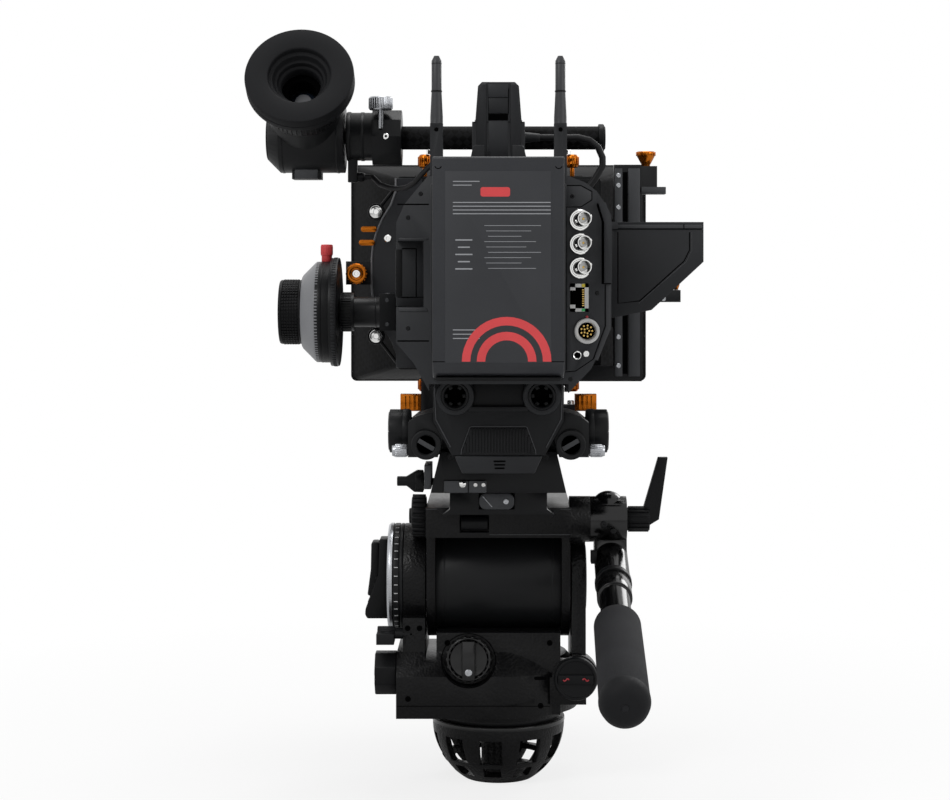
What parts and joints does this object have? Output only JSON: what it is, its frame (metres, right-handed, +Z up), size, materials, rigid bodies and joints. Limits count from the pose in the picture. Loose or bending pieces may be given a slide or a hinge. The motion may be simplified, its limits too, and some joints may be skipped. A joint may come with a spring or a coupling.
{
  "type": "digital cinema camera",
  "caption": "Shoulder-style cinema camera rig with matte box, follow focus, eyepiece, rear battery and top handle, on a fluid head with pan bar and half ball.",
  "frame": {"origin": "mouth of the tie-down thread at the bottom of the half ball, on the pan axis", "axes": "+Z up along the pan axis, +Y forward along the view of the lens, +X to the right as seen from behind the camera"},
  "size_m": [0.3352, 0.5323, 0.5656],
  "materials": {
    "crinkle_paint": "crinkled black paint",
    "black_anodised": "black anodised",
    "black_plastic": "fine grain",
    "body_paint": "satin grey-black paint",
    "battery_plastic": "smooth satin",
    "red_plastic": "satin",
    "steel": "fine turned",
    "plated": "bright",
    "wheel_grey": "grey anodised",
    "orange_anodised": "orange anodised",
    "carbon": "carbon weave",
    "soft_rubber": "matt",
    "foam": "foam",
    "cord_jacket": "matt",
    "glass": "coated",
    "board": "solder resist",
    "sensor": "plain"
  },
  "bodies": {
    "base": {"half_ball": "crinkle_paint", "pan_spindle": "steel"},
    "pan": {"head_casting": "crinkle_paint"},
    "drag": {"drag_dial": "black_anodised", "drag_crank": "black_anodised"},
    "pan_drag": {"pan_drag_knob": "black_plastic"},
    "pan_brake": {"pan_brake_lever": "black_anodised"},
    "balance": {"balance_knob": "black_plastic"},
    "tilt_brake": {"tilt_brake_knob": "black_plastic"},
    "tilt": {"tilt_drum": "crinkle_paint", "platform": "crinkle_paint"},
    "platform_wheel": {"platform_knob": "black_plastic"},
    "bar": {"pan_bar_clamp": "black_anodised"},
    "bar_lever": {"pan_bar_lever": "black_plastic"},
    "bar_slide": {"pan_bar_extension": "black_anodised", "pan_bar_grip": "foam"},
    "camera": {"sliding_plate": "black_anodised", "wedge_plate": "black_anodised", "shoulder_mount": "body_paint", "rod_brackets": "black_anodised", "studio_rods": "black_anodised", "chassis": "body_paint", "rear_panel": "body_paint", "rear_sockets": "plated", "sensor_unit": "sensor", "main_board": "board", "lens_mount": "steel", "battery_plate": "black_anodised", "top_handle": "body_paint", "lens_barrel": "black_anodised", "lens_glass": "glass", "swing_post": "black_anodised", "rig_knobs": "orange_anodised", "ff_gearbox": "black_anodised", "evf_cable": "cord_jacket", "handle_cable": "cord_jacket"},
    "latch": {"plate_latch": "black_anodised"},
    "wedge_lock": {"wedge_lever": "black_anodised"},
    "shoulder_release": {"shoulder_latch": "body_paint"},
    "lock_left": {"rod_lock_left": "steel"},
    "lock_right": {"rod_lock_right": "steel"},
    "fan": {"cooling_fan": "black_plastic"},
    "battery": {"battery": "battery_plastic"},
    "release": {"battery_release": "red_plastic"},
    "antenna_l": {"antenna_left": "black_plastic"},
    "antenna_r": {"antenna_right": "black_plastic"},
    "door": {"monitor_door": "body_paint"},
    "shade": {"sunshade": "black_plastic"},
    "focus": {"focus_ring": "black_plastic"},
    "wheel": {"ff_handwheel": "wheel_grey"},
    "pinion": {"ff_gear": "black_plastic"},
    "evf_slide": {"evf_rod": "carbon", "evf_arm": "black_anodised"},
    "evf_knob": {"evf_clamp_knob": "steel"},
    "evf": {"evf_housing": "black_plastic", "evf_eyecup": "soft_rubber"},
    "matte": {"matte_stage": "black_anodised", "matte_hood": "carbon", "stage_knobs": "orange_anodised"},
    "tray": {"filter_tray": "black_anodised"}
  },
  "joints": [
    {"name": "pan_turn", "type": "hinge", "parent": "base", "child": "pan", "pos_m": [0, 0, 0.05], "axis": [0, 0, 1], "continuous": true},
    {"name": "tilt_turn", "type": "hinge", "parent": "pan", "child": "tilt", "pos_m": [0, 0, 0.151], "axis": [1, 0, 0], "range_deg": [-60, 45]},
    {"name": "drag_turn", "type": "hinge", "parent": "pan", "child": "drag", "pos_m": [-0.0775, 0, 0.151], "axis": [1, 0, 0], "range_deg": [0, 270]},
    {"name": "pan_drag_turn", "type": "hinge", "parent": "pan", "child": "pan_drag", "pos_m": [-0.08, -0.038, 0.0855], "axis": [1, 0, 0], "range_deg": [0, 300]},
    {"name": "pan_brake_turn", "type": "hinge", "parent": "pan", "child": "pan_brake", "pos_m": [-0.08, -0.041, 0.115], "axis": [1, 0, 0], "range_deg": [-45, 0]},
    {"name": "balance_turn", "type": "hinge", "parent": "pan", "child": "balance", "pos_m": [-0.022, -0.055, 0.0981], "axis": [0, 1, 0], "range_deg": [0, 300]},
    {"name": "tilt_brake_turn", "type": "hinge", "parent": "pan", "child": "tilt_brake", "pos_m": [0.057, -0.05, 0.0835], "axis": [0, 1, 0], "range_deg": [0, 90]},
    {"name": "platform_wheel_turn", "type": "hinge", "parent": "tilt", "child": "platform_wheel", "pos_m": [-0.06, -0.03, 0.2013], "axis": [1, 0, 0], "range_deg": [0, 300]},
    {"name": "bar_pivot", "type": "hinge", "parent": "tilt", "child": "bar", "pos_m": [0.08, -0.04, 0.2], "axis": [1, 0, 0], "range_deg": [-30, 10]},
    {"name": "bar_lever_turn", "type": "hinge", "parent": "bar", "child": "bar_lever", "pos_m": [0.1, -0.04, 0.2], "axis": [1, 0, 0], "range_deg": [-60, 60]},
    {"name": "bar_extend", "type": "slide", "parent": "bar", "child": "bar_slide", "axis": [-0.0223, -0.9833, -0.1805], "range_m": [0, 0.04]},
    {"name": "plate_slide", "type": "slide", "parent": "tilt", "child": "camera", "axis": [0, 1, 0], "range_m": [-0.03, 0.03]},
    {"name": "latch_press", "type": "slide", "parent": "camera", "child": "latch", "axis": [0, 1, 0], "range_m": [0, 0.0025], "stiffness_N_per_m": 1500},
    {"name": "wedge_lever_turn", "type": "hinge", "parent": "camera", "child": "wedge_lock", "pos_m": [-0.06, -0.09, 0.2331], "axis": [1, 0, 0], "range_deg": [0, 180]},
    {"name": "shoulder_latch_pull", "type": "slide", "parent": "camera", "child": "shoulder_release", "axis": [0, -1, 0], "range_m": [0, 0.005], "stiffness_N_per_m": 1200},
    {"name": "lock_left_turn", "type": "hinge", "parent": "camera", "child": "lock_left", "pos_m": [-0.07, -0.143, 0.2595], "axis": [1, 0, 0], "range_deg": [0, 180]},
    {"name": "lock_right_turn", "type": "hinge", "parent": "camera", "child": "lock_right", "pos_m": [0.07, -0.143, 0.2595], "axis": [1, 0, 0], "range_deg": [0, 180]},
    {"name": "fan_spin", "type": "hinge", "parent": "camera", "child": "fan", "pos_m": [0, -0.07, 0.383], "axis": [0, 1, 0], "continuous": true},
    {"name": "battery_slide", "type": "slide", "parent": "camera", "child": "battery", "axis": [0, 0, 1], "range_m": [0, 0.02]},
    {"name": "release_press", "type": "slide", "parent": "camera", "child": "release", "axis": [1, 0, 0], "range_m": [0, 0.002], "stiffness_N_per_m": 1500},
    {"name": "antenna_left_fold", "type": "hinge", "parent": "camera", "child": "antenna_l", "pos_m": [-0.0418, -0.185, 0.4796], "axis": [0, 1, 0], "range_deg": [-90, 0]},
    {"name": "antenna_right_fold", "type": "hinge", "parent": "camera", "child": "antenna_r", "pos_m": [0.0418, -0.185, 0.4796], "axis": [0, 1, 0], "range_deg": [0, 90]},
    {"name": "door_swing", "type": "hinge", "parent": "camera", "child": "door", "pos_m": [-0.0684, -0.04, 0.376], "axis": [0, 0, 1], "range_deg": [-90, 0]},
    {"name": "shade_fold", "type": "hinge", "parent": "camera", "child": "shade", "pos_m": [0.0828, -0.047, 0.417], "axis": [0, 1, 0], "range_deg": [-90, 0]},
    {"name": "wheel_turn", "type": "hinge", "parent": "camera", "child": "wheel", "pos_m": [-0.15, 0.07, 0.352], "axis": [1, 0, 0], "range_deg": [0, 360]},
    {"name": "pinion_turn", "type": "hinge", "parent": "camera", "child": "pinion", "pos_m": [-0.06187, 0.07, 0.352], "axis": [0, 1, 0], "range_deg": [0, 720]},
    {"name": "focus_turn", "type": "hinge", "parent": "camera", "child": "focus", "pos_m": [0, 0.069, 0.383], "axis": [0, 1, 0], "range_deg": [-239, 0]},
    {"name": "evf_slide_in", "type": "slide", "parent": "camera", "child": "evf_slide", "axis": [1, 0, 0], "range_m": [-0.05, 0]},
    {"name": "evf_knob_turn", "type": "hinge", "parent": "evf_slide", "child": "evf_knob", "pos_m": [-0.09, 0.002, 0.51], "axis": [0, 0, 1], "range_deg": [0, 180]},
    {"name": "evf_tilt", "type": "hinge", "parent": "evf_slide", "child": "evf", "pos_m": [-0.148, 0.02, 0.4883], "axis": [1, 0, 0], "range_deg": [-60, 57]},
    {"name": "matte_swing", "type": "hinge", "parent": "camera", "child": "matte", "pos_m": [0.104, 0.108, 0.383], "axis": [0, 0, 1], "range_deg": [-90, 0]},
    {"name": "tray_slide", "type": "slide", "parent": "matte", "child": "tray", "axis": [0, 0, 1], "range_m": [0, 0.12]}
  ],
  "couplings": [
    {"joint": "pinion_turn", "follows": "wheel_turn", "ratio": 2},
    {"joint": "focus_turn", "follows": "wheel_turn", "ratio": -0.66154}
  ]
}
